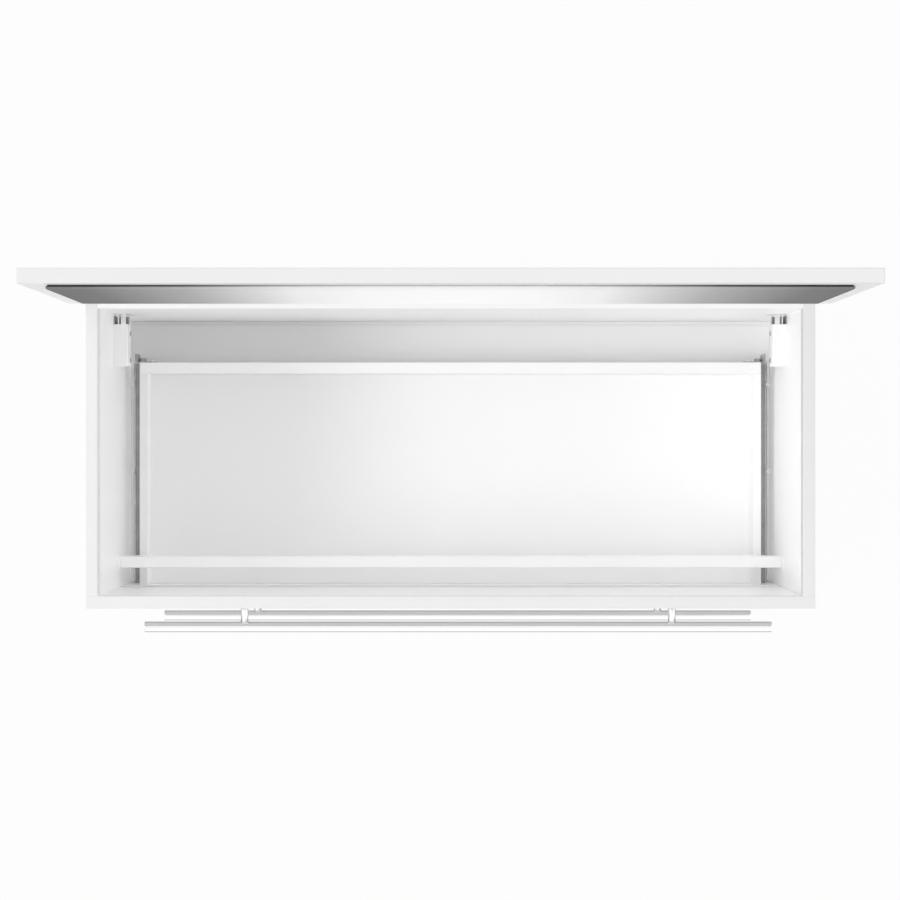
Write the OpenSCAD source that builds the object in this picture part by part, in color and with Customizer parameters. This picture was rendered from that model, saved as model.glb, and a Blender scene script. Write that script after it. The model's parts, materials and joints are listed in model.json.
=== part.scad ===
// Wall-hung bathroom vanity cabinet with one drawer and a mirror board standing on its rear edge.
// Millimetres. X runs to the right, Y from the fronts to the wall, Z up.
// The origin is the middle of the underside, half way between the face of the fronts and the wall.

/* [Cabinet] */
// Outer width over the side panels
cabinet_w = 960; // [800:10:1200]
// Height of the side panels
cabinet_h = 436; // [420:2:520]
// Depth from the face of the fronts to the wall
cabinet_d = 419; // [410:1:480]
// Thickness of the cabinet boards
board_t = 16; // [15:1:19]
// Thickness of the two fronts
front_t = 16; // [15:1:19]
// Height of the rail across the top of the back
rail_h = 160; // [120:5:200]
// Thickness of the back panel below the rail
back_panel_t = 8; // [5:1:10]
// Distance that the back panel lies behind the face of the rail
back_step = 1; // [0:0.5:3]
// Free space between the rail and the wall
wall_gap = 8.5; // [6:0.5:12]

/* [Fronts] */
// Height of the drawer's front
lower_front_h = 147.5; // [140:0.5:160]
// Distance of the drawer's front above the underside
lower_front_z = 2; // [1:0.5:4]
// Joint between the two fronts
front_gap = 3; // [2:0.5:4]
// Chamfer on the inner edges at that joint
front_chamfer = 1.5; // [0.5:0.5:2]
// Height of the stretcher behind the joint
stretcher_h = 55; // [45:1:56]
// Distance from the fronts to the stretcher
stretcher_setback = 27; // [20:1:60]
// Height of the stretcher's top edge above the joint
stretcher_rise = 11.5; // [8:0.5:20]

/* [Drawer] */
// Distance from the side panel to the side of the drawer
runner_gap = 21; // [18:1:26]
// Height of the drawer's floor above the bottom panel
drawer_lift = 14; // [14:0.5:18]
// Thickness of the drawer's wooden floor and back
drawer_board_t = 16; // [12:1:16]
// Height of the drawer's sides and back
drawer_h = 70; // [60:1:74]
// Width of the hollow drawer side
drawer_side_t = 11; // [10:0.5:14]
// Sheet thickness of the drawer side
drawer_sheet_t = 1.2; // [0.8:0.1:1.6]
// Inner depth of the drawer
drawer_depth = 301.5; // [260:0.5:310]

/* [Runners] */
// Length of the rail on the side panel
runner_rail_l = 316; // [300:2:330]
// Distance of the rail from the side panel
runner_standoff = 4; // [3:0.5:5]
// Length of the middle member
runner_member_l = 300; // [270:2:304]
// Sheet thickness of the rail and the drawer member
runner_t = 1.5; // [1.2:0.1:2]
// Sheet thickness of the middle member
middle_t = 1.2; // [1:0.1:1.5]
// Width of the rail's channel
runner_w = 30; // [28:1:34]
// Height of the rail's flange on the side panel
runner_flange_h = 20; // [20:1:24]
// Height of the rail's inner lip
runner_lip_h = 8; // [6:0.5:9]
// Height of the middle member's walls
middle_h = 8; // [6:0.5:8.5]
// Running clearance between the members
runner_play = 0.5; // [0.3:0.1:0.6]
// Width of the seat under the drawer's floor
runner_seat = 14; // [12:1:20]

/* [Handles] */
// Length of the handle bars
bar_l = 845; // [650:5:900]
// Diameter of the handle bars
bar_d = 14; // [12:1:18]
// Distance between the posts
post_pitch = 576; // [448:32:640]
// Diameter of the posts
post_d = 10; // [8:0.5:11]
// Distance from the front to the middle of the bar
bar_reach = 30; // [26:1:40]
// Distance of the handles to the right of the middle
bar_shift = 10.5; // [-20:0.5:20]
// Depth of the post's seat in the bar
post_seat = 3; // [2:0.5:4]
// Chamfer at the ends of the bars
bar_chamfer = 0.8; // [0.4:0.1:1.5]
// Depth of the upper bar below the top
upper_bar_drop = 101; // [60:1:150]
// Height of the lower bar above the underside
lower_bar_z = 50; // [30:1:110]
// Diameter of the handle screws
handle_screw_d = 4; // [4:1:5]
// Thread length of the handle screw in the post
handle_screw_grip = 10; // [8:1:14]

/* [Mirror] */
// Distance that the mirror board stands out past each side of the cabinet
mirror_overhang = 22; // [0:1:40]
// Height of the mirror board
mirror_board_h = 489; // [440:1:700]
// Thickness of the mirror board
mirror_board_t = 18; // [16:1:19]
// Margin of the board on each side of the glass
glass_side_margin = 29.5; // [10:0.5:80]
// Margin of the board above the glass
glass_top_margin = 34; // [10:1:80]
// Thickness of the glass
glass_t = 4; // [3:0.5:6]
// Height of the glass above the foot of the board
glass_rise = 100; // [30:1:120]
// Thickness of the adhesive pads behind the glass
pad_t = 1; // [0.5:0.5:2]

/* [Suspension] */
// Width of a bracket's cover
cover_w = 20; // [19:0.5:24]
// Length of a bracket's cover
cover_l = 58; // [54:1:70]
// Height of a bracket's cover
cover_h = 38; // [37:1:48]
// Depth of the cover's top below the cabinet's top
cover_drop = 190; // [185:1:230]
// Distance from the cover to the rail's face
cover_setback = 12.5; // [10:0.5:20]
// Wall thickness of the cover
cover_t = 1.6; // [1.2:0.1:2]
// Adjustment of a hook each way
hook_travel = 4; // [2:0.5:4]
// Diameter of the depth screw
depth_screw_d = 6; // [5:0.5:6]

/* [Fittings] */
// Diameter of a cam disc
cam_d = 15; // [12:1:15]
// Depth of a cam disc
cam_h = 12.5; // [11:0.5:12.5]
// Distance from a board's end to the middle of the cam
cam_distance = 34; // [24:1:34]
// Diameter of a cam bolt's shank
cam_bolt_d = 6; // [5:0.5:7]
// Length of a cam bolt's thread in the other board
cam_bolt_grip = 11; // [8:0.5:12]
// Diameter of a dowel
dowel_d = 8; // [6:1:8]
// Length of a dowel
dowel_l = 30; // [24:1:34]
// Diameter of the small wood screws
wood_screw_d = 4; // [3.5:0.5:4]
// Length of the small wood screws
wood_screw_l = 13; // [10:1:13]

/* [Hidden] */

$fn = 48;

// Colours
lacquer = [0.95, 0.95, 0.94];
white_plastic = [0.97, 0.97, 0.96];
zinc = [0.62, 0.63, 0.64];
dark_zinc = [0.30, 0.31, 0.32];
steel = [0.74, 0.75, 0.76];
beech = [0.80, 0.66, 0.47];
silvered = [0.72, 0.76, 0.78];
foam = [0.85, 0.85, 0.83];
clear_rubber = [0.80, 0.82, 0.84];

// Clearances
fit = 0.05;
over = 0.1;

// Main planes
half_w = cabinet_w / 2;
half_in = half_w - board_t;
y_face = -cabinet_d / 2;
y_front = y_face + front_t;
y_wall = cabinet_d / 2;
y_rail = y_wall - wall_gap - board_t;
y_back = y_rail + back_step;
rail_z = cabinet_h - rail_h;
rabbet_w = 5;
rabbet_h = 4;
side_mid = half_in + board_t / 2;

// Fronts and stretcher
joint_z = lower_front_z + lower_front_h;
upper_z = joint_z + front_gap;
stretcher_y = y_front + stretcher_setback;
stretcher_top = upper_z + stretcher_rise;
stretcher_z = stretcher_top - stretcher_h;

// Drawer
drawer_z = board_t + drawer_lift;
drawer_top = drawer_z + drawer_h;
floor_top = drawer_z + drawer_board_t;
drawer_half = half_in - runner_gap;
floor_half = drawer_half - drawer_side_t;
drawer_back_y = y_front + drawer_depth;
drawer_rear_y = drawer_back_y + drawer_board_t;

// Runner members, heights from the bottom panel upwards
runner_end_gap = 4;
runner_out = half_in - runner_standoff;
runner_foot_d = 9;
rail_z0 = board_t;
middle_z0 = rail_z0 + runner_t + runner_play;
member_z1 = drawer_z;
member_foot = middle_z0 + middle_t + runner_play;
middle_out = runner_out - runner_t - runner_play;
middle_in = runner_out - runner_w + runner_t + runner_play;
member_out = middle_out - middle_t - runner_play;
member_in = middle_in + middle_t + runner_play;
rail_screw_drop = 5;
rail_screw_inset = 32;
rail_screw_z = rail_z0 + runner_flange_h - rail_screw_drop;
floor_screw_x = floor_half - runner_seat / 2;

// Small screw heads
wood_head_d = wood_screw_d * 1.7;
wood_head_h = 1.7;
pilot_room = 1;
pilot_l = wood_screw_l + pilot_room;

// Clips behind the drawer and brackets in its hollow sides
hollow_mid = drawer_half - drawer_side_t / 2;
hollow_w = drawer_side_t - 2 * drawer_sheet_t;
tongue_play = 1;
tongue_w = hollow_w - 2 * tongue_play;
tongue_l = 14;
tongue_h = 28;
tongue_rise = 28;
tongue_z = drawer_z + tongue_rise;
clip_t = 1.5;
clip_in = 23;
clip_h = 44;
clip_drop = 5;
clip_z = drawer_top - clip_h - clip_drop;
clip_screw_side = 6;
clip_screw_inset = 10;
clip_out = 7;
ear_w = 4;
ear_inset = 6;
ear_reach = 12;
inner_ear_reach = 6;
ear_foot = 8;
clip_pin_d = 4;
clip_pin_step = 4.5;
clip_pin_over = 2;
screw_floor = 3;
bracket_l = 28;
bracket_h = 40;
bracket_rise = 20;
bracket_screw_inset = 8;
bracket_z = drawer_z + bracket_rise;
floor_screw_inset = 50;

// Handles
upper_bar_z = cabinet_h - upper_bar_drop;
bar_y = y_face - bar_reach;
post_end_y = bar_y + bar_d / 2 - post_seat;
screw_head_d = 8;
screw_head_h = 3;
screw_sink = 4;
upper_handle = [bar_shift, upper_bar_z];
lower_handle = [bar_shift, lower_bar_z];

// Mirror
mirror_board_w = cabinet_w + 2 * mirror_overhang;
mirror_top = cabinet_h + mirror_board_h;
glass_w = mirror_board_w - 2 * glass_side_margin;
glass_h = mirror_board_h - glass_rise - glass_top_margin;
mirror_y = y_wall - mirror_board_t;
glass_y = mirror_y - pad_t - glass_t;
glass_z = cabinet_h + glass_rise;
glass_edge = 1.2;
pad_w = 60;
pad_h = 40;
pad_inset = 45;
hanger_inset = 100;
hanger_drop = 60;
hanger_x = mirror_board_w / 2 - hanger_inset;
hanger_z = mirror_top - hanger_drop;
keyhole_rise = 6;
keyhole_room = 5;
hanger_w = 62;
hanger_h = 24;
hanger_t = 2;
hanger_hole_pitch = 46;
keyhole_d = 9;
keyhole_slot_w = 5;
keyhole_drop = 9;
keyhole_depth = 9;

// Suspension brackets, distances outwards from the cabinet's middle
cover_z1 = cabinet_h - cover_drop;
cover_z0 = cover_z1 - cover_h;
cover_y1 = y_rail - cover_setback;
cover_y0 = cover_y1 - cover_l;
cover_in = half_in - cover_w;
carrier_t = 1.6;
carrier_play = 0.4;
carrier_z0 = cover_z0 + cover_t + carrier_play;
carrier_z1 = cover_z1 - cover_t - carrier_play;
carrier_side_play = 0.2;
carrier_front_play = 0.8;
carrier_rear_play = 1;
carrier_in = cover_in + cover_t + carrier_side_play;
carrier_y0 = cover_y0 + cover_t + carrier_front_play;
carrier_y1 = y_rail - carrier_rear_play;
carrier_screw_y = 22;
carrier_screw_pitch = 20;
carrier_lip_h = 12;
hook_play = 0.4;
hook_z0 = carrier_z0 + carrier_t + hook_play;
hook_top_play = 3;
hook_side_play = 0.6;
hook_z1 = carrier_z1 - hook_top_play;
hook_in = carrier_in + carrier_t + hook_side_play;
hook_wide = 6.5;
hook_arm_h = 6;
hook_arm_end = 2;
hook_out_inset = 5;
hook_plate_out = half_in - hook_out_inset;
hook_plate_t = 2;
nut_inset = 13;
nut_y = carrier_y0 + nut_inset;
nut_t = 3;
nose_gap = 10.5;
nose_y = y_wall - nose_gap;
nose_t = 3;
nose_drop = 10;
nose_step = 10;
screw_inset = 4;
screw_rise = 9;
screw_x = hook_in + screw_inset;
screw_z = hook_z0 + screw_rise;
screw_gap = 0.1;
screw_access = 1;
depth_head_d = 9;
depth_head_h = 2;
depth_collar_d = 8;
depth_collar_h = 1.5;
depth_screw_l = 30;
depth_recess_w = 5.4;
depth_recess_t = 1.2;
rivet_head_d = 7;
rivet_head_h = 0.8;
rivet_d = 3.5;
rivet_inset = 9;
rivet_rear_inset = 12;
rivet_rise = 7;
rivet_z = carrier_z0 + rivet_rise;
notch_side = 4;
notch_drop = 12;
notch_w = cover_w + notch_side;
notch_z = cover_z0 - notch_drop;

// Wall screw holes in the rail
wall_hole_d = 6;
wall_hole_inset = 114;
wall_hole_drop = 40;
wall_hole_x = half_in - wall_hole_inset;
wall_hole_z = cabinet_h - wall_hole_drop;

// Dampers pressed into the edges of the side panels
damper_d = 8;
damper_l = 6;
damper_drop = 20;
damper_z = joint_z - damper_drop;

// Cam joints: middle of the board's end face, direction out of the end, face with the disc,
// board thickness, distance to the dowel beside it
cam_inset = 60;
cam_edge = 40;
bottom_dowel_gap = 32;
rail_dowel_gap = 24;
stretcher_dowel_gap = 14;
CAM_JOINTS = [
    for (s = [-1, 1]) each [
        for (y = [y_front + cam_inset, y_back - cam_inset])
            [[s * half_in, y, board_t / 2], [s, 0, 0], [0, 0, -1], board_t, bottom_dowel_gap],
        for (z = [rail_z + cam_edge, cabinet_h - cam_edge])
            [[s * half_in, y_rail + board_t / 2, z], [s, 0, 0], [0, 1, 0], board_t, rail_dowel_gap],
        [[s * half_in, stretcher_y + board_t / 2, stretcher_z + stretcher_h / 2],
            [s, 0, 0], [0, 1, 0], board_t, stretcher_dowel_gap],
        for (z = [upper_z + cam_edge, cabinet_h - cam_edge])
            [[s * side_mid, y_front, z], [0, -1, 0], [-s, 0, 0], board_t, rail_dowel_gap],
        [[s * side_mid, mirror_y + mirror_board_t / 2, cabinet_h],
            [0, 0, -1], [0, 1, 0], mirror_board_t, 0]
    ]
];
cam_seat = 3;
cam_slot_play = 0.4;
cam_recess_w = 7.5;
cam_recess_t = 1.6;
cam_bolt_l = cam_distance - cam_seat;
cam_fit = 0.1;
cam_thread_step = 1;
thread_d = cam_bolt_d - cam_thread_step;

// Basic shapes

module block(lo, hi) {
    translate(lo) cube(hi - lo);
}

// A rod along +Y from the given point
module rod_y(at, d, l) {
    translate(at) rotate([-90, 0, 0]) cylinder(h = l, d = d);
}

// A rod along X, outwards from the given point on the right-hand side
module rod_x(at, d, l) {
    translate(at) rotate([0, 90, 0]) cylinder(h = l, d = d);
}

// Shapes drawn on the right-hand side, mirrored for the left
module on_side(s) {
    if (s < 0) mirror([1, 0, 0]) children();
    else children();
}

module on_both_sides() {
    for (s = [-1, 1]) on_side(s) children();
}

// Pan head screw, its head at the origin and its shank along +Z
module pan_screw(d, l, head_d, head_h) {
    translate([0, 0, -head_h]) cylinder(h = head_h, d = head_d);
    translate([0, 0, -over]) cylinder(h = l + over, d = d);
}

// Pan head screw with a cross recess
module cross_screw(d, l, head_d, head_h) {
    difference() {
        pan_screw(d, l, head_d, head_h);
        translate([0, 0, -head_h]) for (a = [0, 90])
            rotate([0, 0, a]) cube([head_d * 0.55, head_d * 0.14, head_h], center = true);
    }
}

// Cam fittings and dowels

// Local +X points out of the board's end, +Z out of the face with the disc
module joint_frame(j) {
    at = j[0];
    out = j[1];
    face = j[2];
    side = cross(face, out);
    multmatrix([
        [out[0], side[0], face[0], at[0]],
        [out[1], side[1], face[1], at[1]],
        [out[2], side[2], face[2], at[2]]
    ]) children();
}

module cam_disc(t) {
    translate([-cam_distance, 0, t / 2 - cam_h]) difference() {
        cylinder(h = cam_h, d = cam_d - 2 * cam_fit);
        translate([0, 0, cam_h]) for (a = [0, 90])
            rotate([0, 0, a]) cube([cam_recess_w, cam_recess_t, 2 * cam_recess_t], center = true);
        block([0, -cam_bolt_d / 2 - cam_slot_play, -over],
            [cam_d, cam_bolt_d / 2 + cam_slot_play, cam_h - t / 2 + cam_bolt_d / 2 + cam_slot_play]);
    }
}

module cam_bolt() {
    translate([-cam_bolt_l, 0, 0]) rotate([0, 90, 0]) cylinder(h = cam_bolt_l, d = cam_bolt_d);
    rotate([0, 90, 0]) translate([0, 0, -over]) cylinder(h = cam_bolt_grip + over, d = thread_d);
}

module dowel(offset) {
    translate([cam_bolt_grip - dowel_l, offset, 0]) rotate([0, 90, 0])
        cylinder(h = dowel_l, d = dowel_d - 2 * fit);
}

// Everything that the joints take out of the boards
module joint_bores() {
    for (j = CAM_JOINTS) joint_frame(j) {
        translate([-cam_distance, 0, j[3] / 2 - cam_h - cam_fit])
            cylinder(h = cam_h + cam_fit + over, d = cam_d);
        translate([-cam_distance, 0, 0]) rotate([0, 90, 0])
            cylinder(h = cam_distance + over, d = cam_bolt_d + 2 * cam_fit);
        rotate([0, 90, 0]) cylinder(h = cam_bolt_grip + cam_fit, d = thread_d + 2 * fit);
        if (j[4] > 0) translate([cam_bolt_grip - dowel_l - cam_fit, j[4], 0]) rotate([0, 90, 0])
            cylinder(h = dowel_l + 2 * cam_fit, d = dowel_d);
    }
}

module cam_discs() {
    color(zinc) for (j = CAM_JOINTS) joint_frame(j) cam_disc(j[3]);
}

module cam_bolts() {
    color(zinc) for (j = CAM_JOINTS) joint_frame(j) cam_bolt();
}

module dowels() {
    color(beech) for (j = CAM_JOINTS) if (j[4] > 0) joint_frame(j) dowel(j[4]);
}

// Cabinet

// Pilot bores in the right-hand side panel for the runner and the suspension carrier
module side_pilots() {
    for (y = runner_screw_ys())
        rod_x([half_in - over, y, rail_screw_z], wood_screw_d + 2 * fit, pilot_l + over);
    for (y = carrier_screw_ys())
        rod_x([half_in - over, y, carrier_screw_z()], wood_screw_d + 2 * fit, pilot_l + over);
}

module side_panel(s) {
    color(lacquer) difference() {
        on_side(s) difference() {
            block([half_in, y_front, 0], [half_w, y_wall, cabinet_h]);
            side_pilots();
            rod_y([side_mid, y_front - over, damper_z], damper_d + 2 * fit, damper_l + fit + over);
        }
        joint_bores();
    }
}

module side_panel_left() {
    side_panel(-1);
}

module side_panel_right() {
    side_panel(1);
}

module bottom_panel() {
    color(lacquer) difference() {
        block([-half_in, y_front, 0], [half_in, y_back, board_t]);
        block([-half_in - over, y_back - rabbet_w, board_t - rabbet_h],
            [half_in + over, y_back + over, board_t + over]);
        joint_bores();
    }
}

module back_rail() {
    color(lacquer) difference() {
        block([-half_in, y_rail, rail_z], [half_in, y_rail + board_t, cabinet_h]);
        joint_bores();
        on_both_sides() rod_y([wall_hole_x, y_rail - over, wall_hole_z], wall_hole_d, board_t + 2 * over);
    }
}

module back_panel() {
    color(lacquer) difference() {
        block([-half_in, y_back, 0], [half_in, y_back + back_panel_t, rail_z]);
        on_both_sides() block([half_in - notch_w, y_back - over, notch_z],
            [half_in + over, y_back + back_panel_t + over, rail_z + over]);
    }
}

module front_stretcher() {
    color(lacquer) difference() {
        block([-half_in, stretcher_y, stretcher_z], [half_in, stretcher_y + board_t, stretcher_top]);
        joint_bores();
    }
}

// The dampers sit flush in the side panels and take the drawer's front
module drawer_dampers() {
    color(clear_rubber) on_both_sides() rod_y([side_mid, y_front, damper_z], damper_d, damper_l);
}

// Fronts and handles

module front_board(z0, z1, chamfer_z) {
    difference() {
        block([-half_w, y_face, z0], [half_w, y_front, z1]);
        translate([0, y_front, chamfer_z]) rotate([45, 0, 0])
            cube([cabinet_w + 2 * over, front_chamfer * sqrt(2), front_chamfer * sqrt(2)], center = true);
    }
}

// Screw holes and head recesses for a handle
module handle_holes(h) {
    for (s = [-1, 1]) {
        rod_y([h[0] + s * post_pitch / 2, y_face - over, h[1]],
            handle_screw_d + 2 * cam_fit, front_t + 2 * over);
        rod_y([h[0] + s * post_pitch / 2, y_front - screw_sink, h[1]],
            screw_head_d + 2 * cam_fit, screw_sink + over);
    }
}

module upper_front() {
    color(lacquer) difference() {
        front_board(upper_z, cabinet_h, upper_z);
        handle_holes(upper_handle);
        joint_bores();
    }
}

module lower_front() {
    color(lacquer) difference() {
        front_board(lower_front_z, joint_z, joint_z);
        handle_holes(lower_handle);
        on_both_sides() for (z = front_bracket_zs())
            rod_y([hollow_mid, y_front - pilot_l, z], wood_screw_d + 2 * fit, pilot_l + over);
    }
}

// Turned bar along X with a chamfer at each end
module bar_rod() {
    rotate([0, 90, 0]) rotate_extrude($fn = 96) polygon([
        [0, -bar_l / 2],
        [bar_d / 2 - bar_chamfer, -bar_l / 2],
        [bar_d / 2, -bar_l / 2 + bar_chamfer],
        [bar_d / 2, bar_l / 2 - bar_chamfer],
        [bar_d / 2 - bar_chamfer, bar_l / 2],
        [0, bar_l / 2]
    ]);
}

module bar(h) {
    color(steel) difference() {
        translate([h[0], bar_y, h[1]]) bar_rod();
        for (s = [-1, 1]) rod_y([h[0] + s * post_pitch / 2, post_end_y - fit, h[1]],
            post_d + 2 * fit, bar_d);
    }
}

module posts(h) {
    color(steel) for (s = [-1, 1]) translate([h[0] + s * post_pitch / 2, 0, h[1]]) difference() {
        rod_y([0, post_end_y, 0], post_d, y_face - post_end_y);
        rod_y([0, y_face - handle_screw_grip - pilot_room, 0],
            handle_screw_d + 2 * fit, handle_screw_grip + pilot_room + over);
    }
}

module handle_screws(h) {
    color(zinc) for (s = [-1, 1])
        translate([h[0] + s * post_pitch / 2, y_front - screw_sink, h[1]]) rotate([90, 0, 0])
            cross_screw(handle_screw_d, front_t - screw_sink + handle_screw_grip,
                         screw_head_d, screw_head_h);
}

module upper_bar() {
    bar(upper_handle);
}

module upper_posts() {
    posts(upper_handle);
}

module upper_handle_screws() {
    handle_screws(upper_handle);
}

module lower_bar() {
    bar(lower_handle);
}

module lower_posts() {
    posts(lower_handle);
}

module lower_handle_screws() {
    handle_screws(lower_handle);
}

// Drawer

// Folded steel side, hollow and open at the foot
module drawer_side(s) {
    color(lacquer) on_side(s) difference() {
        block([floor_half, y_front, drawer_z], [drawer_half, drawer_back_y, drawer_top]);
        block([floor_half + drawer_sheet_t, y_front - over, drawer_z - over],
            [drawer_half - drawer_sheet_t, drawer_back_y + over, drawer_top - drawer_sheet_t]);
    }
}

module drawer_side_left() {
    drawer_side(-1);
}

module drawer_side_right() {
    drawer_side(1);
}

function floor_screw_ys() = [
    y_front + floor_screw_inset, y_front + drawer_depth / 2, drawer_back_y - floor_screw_inset
];

module drawer_floor() {
    color(lacquer) difference() {
        block([-floor_half, y_front, drawer_z], [floor_half, drawer_back_y, floor_top]);
        on_both_sides() for (y = floor_screw_ys()) translate([floor_screw_x, y, drawer_z - over])
            cylinder(h = drawer_board_t - screw_floor + over, d = wood_screw_d + 2 * fit);
    }
}

module drawer_back() {
    color(lacquer) difference() {
        block([-drawer_half, drawer_back_y, drawer_z], [drawer_half, drawer_rear_y, drawer_top]);
        on_both_sides() {
            block([hollow_mid - tongue_w / 2, drawer_back_y - over, tongue_z],
                [hollow_mid + tongue_w / 2, drawer_rear_y + over, tongue_z + tongue_h]);
            for (z = clip_screw_zs()) rod_y([clip_screw_x(), drawer_back_y + screw_floor - pilot_room, z],
                wood_screw_d + 2 * fit, drawer_board_t);
        }
    }
}

function clip_screw_x() = drawer_half - clip_in + clip_screw_side;
function clip_screw_zs() = [clip_z + clip_screw_inset, clip_z + clip_h - clip_screw_inset];

// Steel clip on the drawer's back, with a tongue into the hollow side
module drawer_clips() {
    color(zinc) on_both_sides() difference() {
        union() {
            block([drawer_half - clip_in, drawer_rear_y, clip_z],
                [drawer_half + clip_out, drawer_rear_y + clip_t, clip_z + clip_h]);
            block([hollow_mid - tongue_w / 2, drawer_back_y - tongue_l, tongue_z],
                [hollow_mid + tongue_w / 2, drawer_rear_y + over, tongue_z + tongue_h]);
            block([drawer_half - ear_inset, drawer_rear_y, clip_z + ear_foot],
                [drawer_half - ear_inset + ear_w, drawer_rear_y + inner_ear_reach, clip_z + clip_h]);
            block([drawer_half + clip_out - ear_w, drawer_rear_y, clip_z + ear_foot],
                [drawer_half + clip_out, drawer_rear_y + ear_reach, clip_z + clip_h]);
            rod_x([drawer_half - ear_inset, drawer_rear_y + clip_pin_step, clip_z + clip_h / 2],
                clip_pin_d, ear_inset + clip_out + clip_pin_over);
        }
        for (z = clip_screw_zs()) rod_y([clip_screw_x(), drawer_rear_y - over, z],
            wood_screw_d + 2 * fit, clip_t + 2 * over);
    }
}

module clip_screws() {
    color(zinc) on_both_sides() for (z = clip_screw_zs())
        translate([clip_screw_x(), drawer_rear_y + clip_t, z]) rotate([90, 0, 0])
            cross_screw(wood_screw_d, clip_t + drawer_board_t - screw_floor, wood_head_d, wood_head_h);
}

function front_bracket_zs() = [
    bracket_z + bracket_screw_inset, bracket_z + bracket_h - bracket_screw_inset
];

// Block inside the hollow side that holds the drawer's front
module front_brackets() {
    color(zinc) on_both_sides() difference() {
        block([hollow_mid - tongue_w / 2, y_front, bracket_z],
            [hollow_mid + tongue_w / 2, y_front + bracket_l, bracket_z + bracket_h]);
        for (z = front_bracket_zs())
            rod_y([hollow_mid, y_front - over, z], wood_screw_d + 2 * fit, bracket_l + 2 * over);
    }
}

module front_bracket_screws() {
    color(zinc) on_both_sides() for (z = front_bracket_zs())
        translate([hollow_mid, y_front + bracket_l, z]) rotate([90, 0, 0])
            cross_screw(wood_screw_d, bracket_l + wood_screw_l, tongue_w, wood_head_h);
}

module floor_screws() {
    color(zinc) on_both_sides() for (y = floor_screw_ys())
        translate([floor_screw_x, y, drawer_z - runner_t])
            cross_screw(wood_screw_d, runner_t + drawer_board_t - screw_floor - pilot_room,
                         wood_head_d, wood_head_h);
}

// Runners

function runner_screw_ys() = [
    for (y = [rail_screw_inset, runner_rail_l / 2, runner_rail_l - rail_screw_inset])
        y_front + runner_end_gap + y
];

module runner_rail(s) {
    y0 = y_front + runner_end_gap;
    y1 = y0 + runner_rail_l;
    color(dark_zinc) on_side(s) difference() {
        union() {
            block([runner_out - runner_w, y0, rail_z0], [runner_out, y1, rail_z0 + runner_t]);
            block([runner_out - runner_t, y0, rail_z0], [runner_out, y1, rail_z0 + runner_flange_h]);
            block([runner_out - runner_w, y0, rail_z0],
                [runner_out - runner_w + runner_t, y1, rail_z0 + runner_lip_h]);
            for (y = runner_screw_ys())
                rod_x([runner_out - runner_t, y, rail_screw_z], runner_foot_d, runner_t + runner_standoff);
        }
        for (y = runner_screw_ys())
            rod_x([runner_out - runner_t - over, y, rail_screw_z],
                   wood_screw_d + 2 * fit, runner_t + runner_standoff + 2 * over);
    }
}

module runner_middle(s) {
    y0 = y_front + runner_end_gap;
    y1 = y0 + runner_member_l;
    color(zinc) on_side(s) {
        block([middle_in, y0, middle_z0], [middle_out, y1, middle_z0 + middle_t]);
        block([middle_out - middle_t, y0, middle_z0], [middle_out, y1, middle_z0 + middle_h]);
        block([middle_in, y0, middle_z0], [middle_in + middle_t, y1, middle_z0 + middle_h]);
    }
}

module runner_drawer(s) {
    y1 = drawer_rear_y;
    color(dark_zinc) on_side(s) difference() {
        union() {
            block([floor_half - runner_seat, y_front, member_z1 - runner_t], [member_out, y1, member_z1]);
            block([member_out - runner_t, y_front, member_foot], [member_out, y1, member_z1]);
            block([member_in, y_front, member_foot], [member_in + runner_t, y1, member_z1]);
        }
        for (y = floor_screw_ys()) translate([floor_screw_x, y, member_z1 - runner_t - over])
            cylinder(h = runner_t + 2 * over, d = wood_screw_d + 2 * fit);
    }
}

module runner_rail_left() {
    runner_rail(-1);
}

module runner_rail_right() {
    runner_rail(1);
}

module runner_middle_left() {
    runner_middle(-1);
}

module runner_middle_right() {
    runner_middle(1);
}

module runner_drawer_left() {
    runner_drawer(-1);
}

module runner_drawer_right() {
    runner_drawer(1);
}

module rail_screws() {
    color(zinc) on_both_sides() for (y = runner_screw_ys())
        translate([runner_out - runner_t, y, rail_screw_z]) rotate([0, 90, 0])
            cross_screw(wood_screw_d, runner_t + runner_standoff + wood_screw_l, wood_head_d, wood_head_h);
}

// Suspension brackets

function carrier_screw_ys() = [
    carrier_y0 + carrier_screw_y, carrier_y0 + carrier_screw_y + carrier_screw_pitch
];
function carrier_screw_z() = (carrier_z0 + carrier_z1) / 2;
function rivet_ys() = [cover_y0 + rivet_inset, cover_y1 - rivet_rear_inset];

// Moulded cover, open towards the side panel and the wall
module suspension_cover(s) {
    color(white_plastic) on_side(s) difference() {
        block([cover_in, cover_y0, cover_z0], [half_in, cover_y1, cover_z1]);
        block([cover_in + cover_t, cover_y0 + cover_t, cover_z0 + cover_t],
            [half_in + over, cover_y1 + over, cover_z1 - cover_t]);
        rod_y([screw_x, cover_y0 - over, screw_z], depth_head_d + screw_access, cover_t + 2 * over);
        for (y = rivet_ys()) rod_x([cover_in - over, y, rivet_z], rivet_d + 2 * fit, cover_t + 2 * over);
    }
}

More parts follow.
